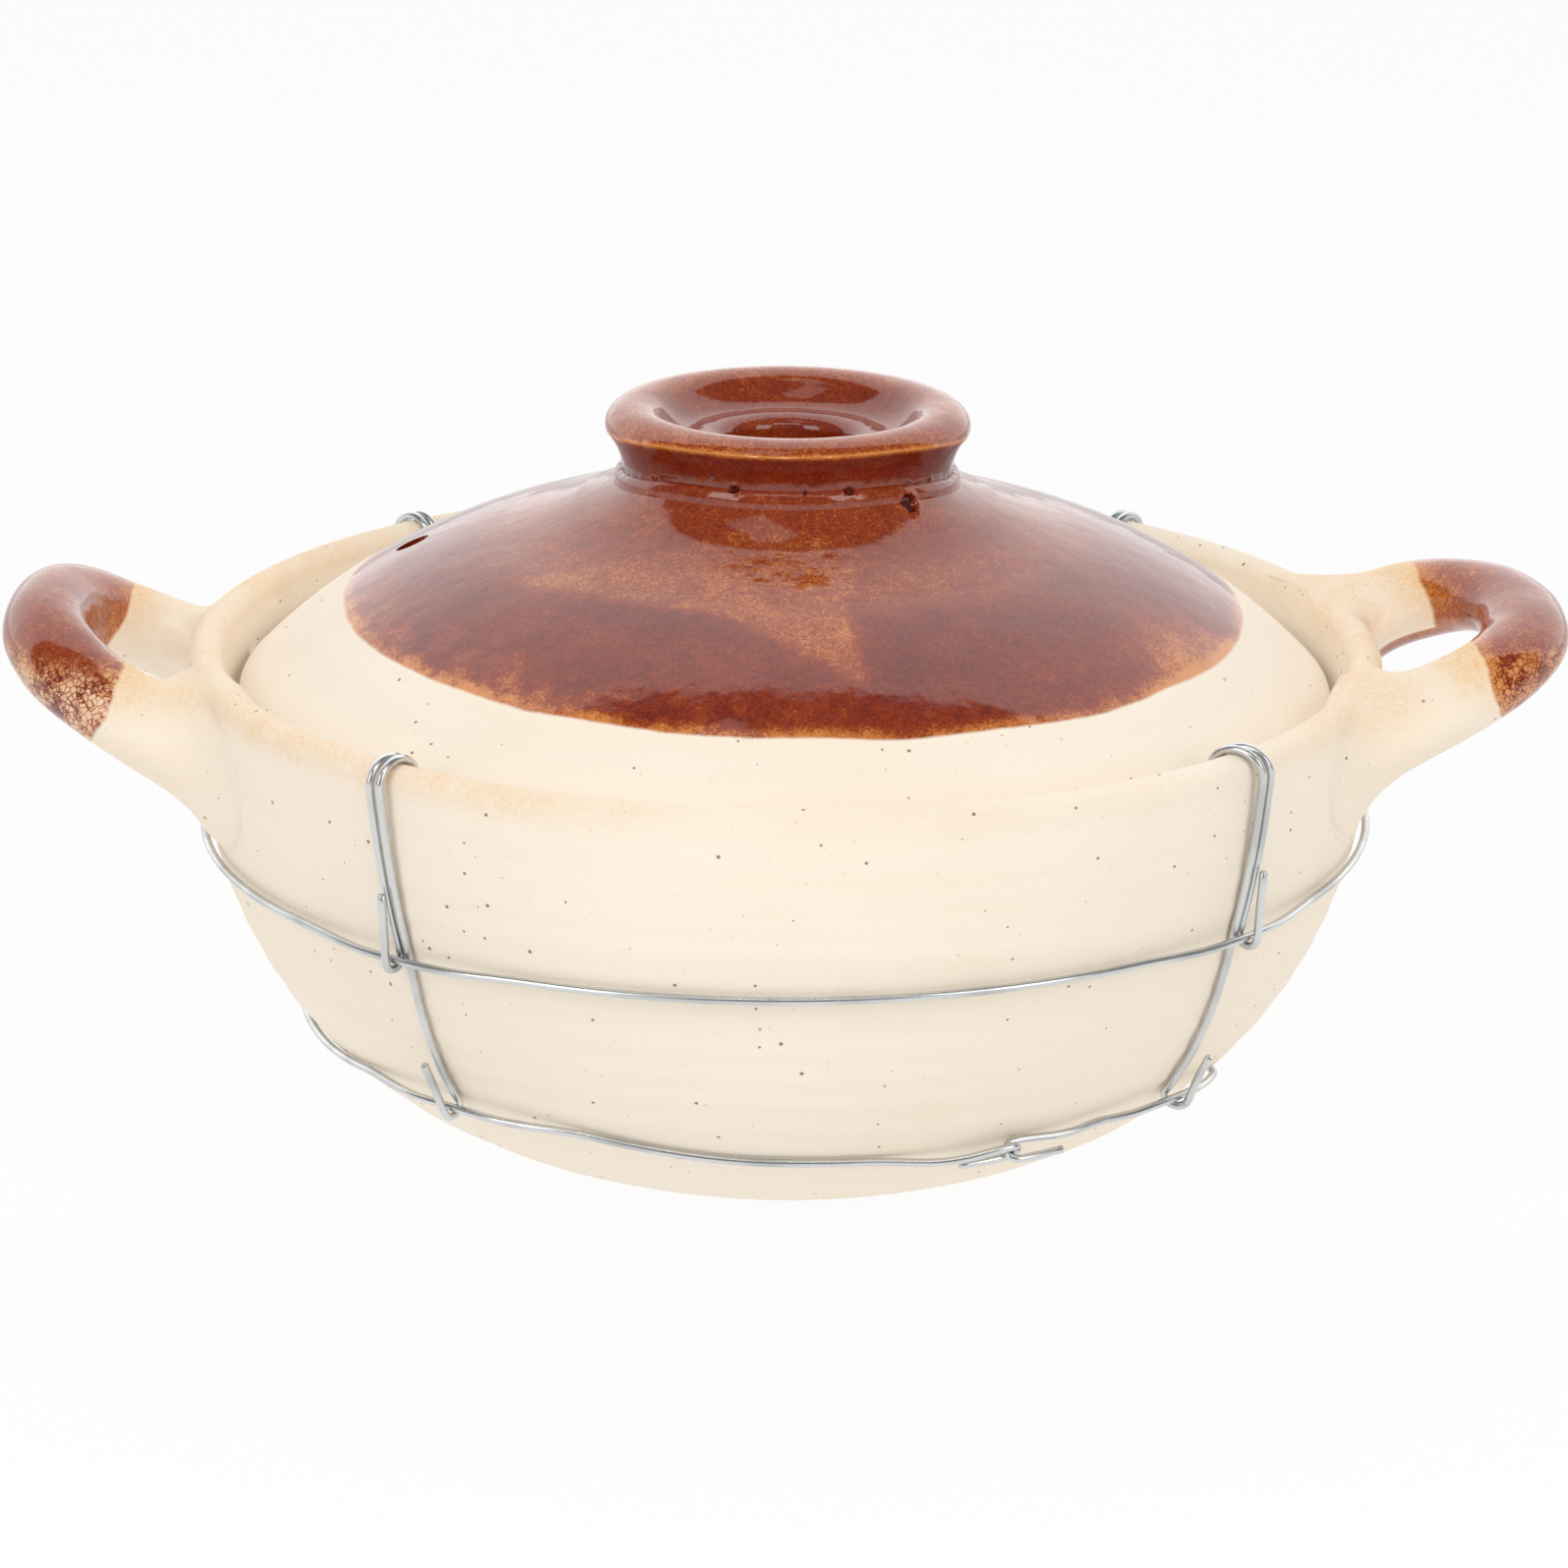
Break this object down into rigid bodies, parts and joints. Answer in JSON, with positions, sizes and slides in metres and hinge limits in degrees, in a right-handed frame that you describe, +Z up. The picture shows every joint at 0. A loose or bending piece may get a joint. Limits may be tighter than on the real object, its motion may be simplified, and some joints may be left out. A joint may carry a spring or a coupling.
{
  "type": "clay casserole",
  "caption": "Hand-thrown clay casserole with loop handles, a lift-off domed lid with steam vent and ring knob, and a cage of galvanised wire hooked over the rim.",
  "frame": {"origin": "middle of the flat base, on the table", "axes": "+X through the right handle as the pot is pictured, +Y to the back, +Z up through the knob"},
  "size_m": [0.3156, 0.2408, 0.1522],
  "materials": {
    "bare_clay": "unglazed cream stoneware, matt, with iron specks and a toasted rim",
    "dipped_clay": "cream stoneware, its outer half dipped in glossy brown glaze",
    "brown_glaze": "glossy red-brown iron glaze, thinner and more orange near its edge",
    "galvanised_wire": "drawn galvanised steel wire"
  },
  "bodies": {
    "pot": {"pot_bowl": "bare_clay", "handle_left": "dipped_clay", "handle_right": "dipped_clay", "upper_hoop": "galvanised_wire", "lower_hoop": "galvanised_wire", "hanger_front_left": "galvanised_wire", "hanger_front_right": "galvanised_wire", "hanger_back_right": "galvanised_wire", "hanger_back_left": "galvanised_wire"},
    "lid": {"lid_dome": "brown_glaze", "lid_knob_ring": "brown_glaze"}
  },
  "joints": [
    {"name": "lid_lift", "type": "slide", "parent": "pot", "child": "lid", "axis": [0, 0, 1], "range_m": [0, 0.12]}
  ]
}
